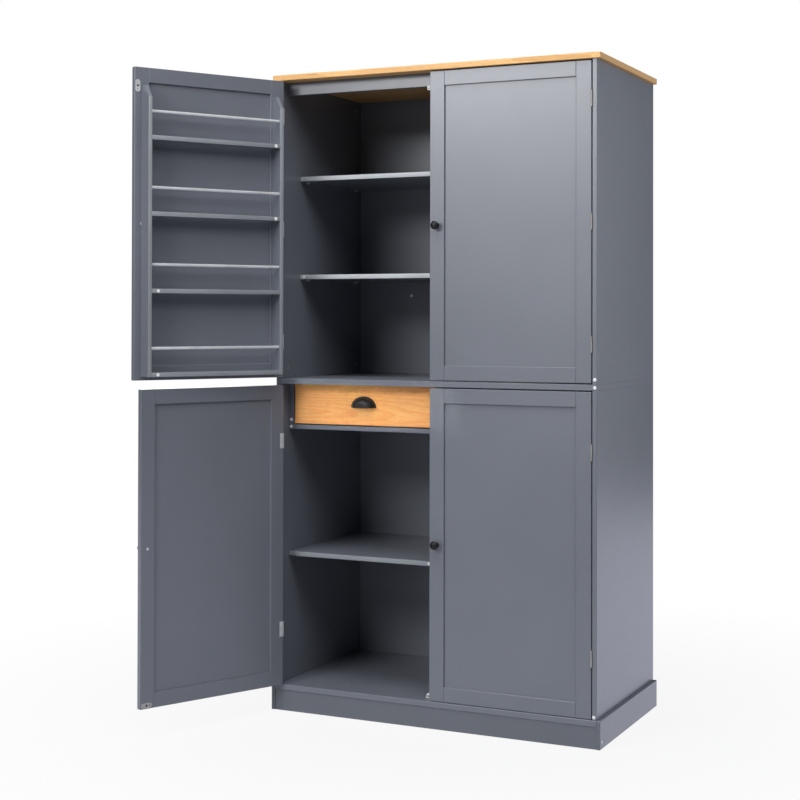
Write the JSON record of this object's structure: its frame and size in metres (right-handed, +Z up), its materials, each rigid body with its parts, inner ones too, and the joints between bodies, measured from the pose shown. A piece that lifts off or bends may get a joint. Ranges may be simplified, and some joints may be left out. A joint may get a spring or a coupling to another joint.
{
  "type": "pantry cupboard",
  "caption": "Tall painted pantry cupboard with an oak top, paired inset panel doors above and below, shelves, a drawer and spice racks inside the upper doors.",
  "frame": {"origin": "on the floor, below the middle of the top board", "axes": "+Z up, the doors face -Y, +X to the right of someone facing the doors"},
  "size_m": [1.1253, 0.8854, 1.7],
  "materials": {
    "grey_paint": "satin grey paint on fibreboard",
    "oak": "oak veneer, clear lacquer",
    "drawer_board": "grey laminate on fibreboard",
    "black_metal": "satin black",
    "steel": "plated steel",
    "white_plastic": "moulded white"
  },
  "bodies": {
    "carcass": {"bottom_panel": "grey_paint", "cam_locks": "steel", "drawer_divider": "grey_paint", "drawer_filler": "grey_paint", "drawer_runners": "steel", "drawer_shelf": "grey_paint", "hinge_frame_leaves": "steel", "hinge_pins": "steel", "lower_back_panel": "grey_paint", "lower_left_side": "grey_paint", "lower_right_side": "grey_paint", "lower_shelf": "grey_paint", "magnetic_catches": "white_plastic", "middle_panel": "grey_paint", "plinth_ends": "grey_paint", "plinth_front": "grey_paint", "plinth_stretchers": "grey_paint", "shelf_pins": "steel", "top_board": "oak", "top_front_rail": "grey_paint", "upper_back_panel": "grey_paint", "upper_left_side": "grey_paint", "upper_right_side": "grey_paint", "upper_shelf_high": "grey_paint", "upper_shelf_low": "grey_paint"},
    "upper_left_door": {"upper_left_door_hinge_leaves": "steel", "upper_left_door_knob": "black_metal", "upper_left_door_panel": "grey_paint", "upper_left_door_rack_rods": "steel", "upper_left_door_rack_shelves": "grey_paint", "upper_left_door_rack_sides": "grey_paint", "upper_left_door_rails": "grey_paint", "upper_left_door_stiles": "grey_paint", "upper_left_door_strike_plate": "steel"},
    "lower_left_door": {"lower_left_door_hinge_leaves": "steel", "lower_left_door_knob": "black_metal", "lower_left_door_panel": "grey_paint", "lower_left_door_rails": "grey_paint", "lower_left_door_stiles": "grey_paint", "lower_left_door_strike_plate": "steel"},
    "upper_right_door": {"upper_right_door_hinge_leaves": "steel", "upper_right_door_knob": "black_metal", "upper_right_door_panel": "grey_paint", "upper_right_door_rack_rods": "steel", "upper_right_door_rack_shelves": "grey_paint", "upper_right_door_rack_sides": "grey_paint", "upper_right_door_rails": "grey_paint", "upper_right_door_stiles": "grey_paint", "upper_right_door_strike_plate": "steel"},
    "lower_right_door": {"lower_right_door_hinge_leaves": "steel", "lower_right_door_knob": "black_metal", "lower_right_door_panel": "grey_paint", "lower_right_door_rails": "grey_paint", "lower_right_door_stiles": "grey_paint", "lower_right_door_strike_plate": "steel"},
    "drawer": {"drawer_back": "drawer_board", "drawer_bottom": "drawer_board", "drawer_front": "oak", "drawer_pull": "black_metal", "drawer_sides": "drawer_board"}
  },
  "joints": [
    {"name": "upper_left_door_hinge", "type": "hinge", "parent": "carcass", "child": "upper_left_door", "pos_m": [-0.43675, -0.24035, 1.286], "axis": [0, 0, -1], "range_deg": [-120, 30]},
    {"name": "lower_left_door_hinge", "type": "hinge", "parent": "carcass", "child": "lower_left_door", "pos_m": [-0.43675, -0.24035, 0.471], "axis": [0, 0, -1], "range_deg": [-115, 35]},
    {"name": "upper_right_door_hinge", "type": "hinge", "parent": "carcass", "child": "upper_right_door", "pos_m": [0.43675, -0.24035, 1.286], "axis": [0, 0, 1], "range_deg": [0, 150]},
    {"name": "lower_right_door_hinge", "type": "hinge", "parent": "carcass", "child": "lower_right_door", "pos_m": [0.43675, -0.24035, 0.471], "axis": [0, 0, 1], "range_deg": [0, 150]},
    {"name": "drawer_slide", "type": "slide", "parent": "carcass", "child": "drawer", "axis": [0, -1, 0], "range_m": [0, 0.28]}
  ]
}
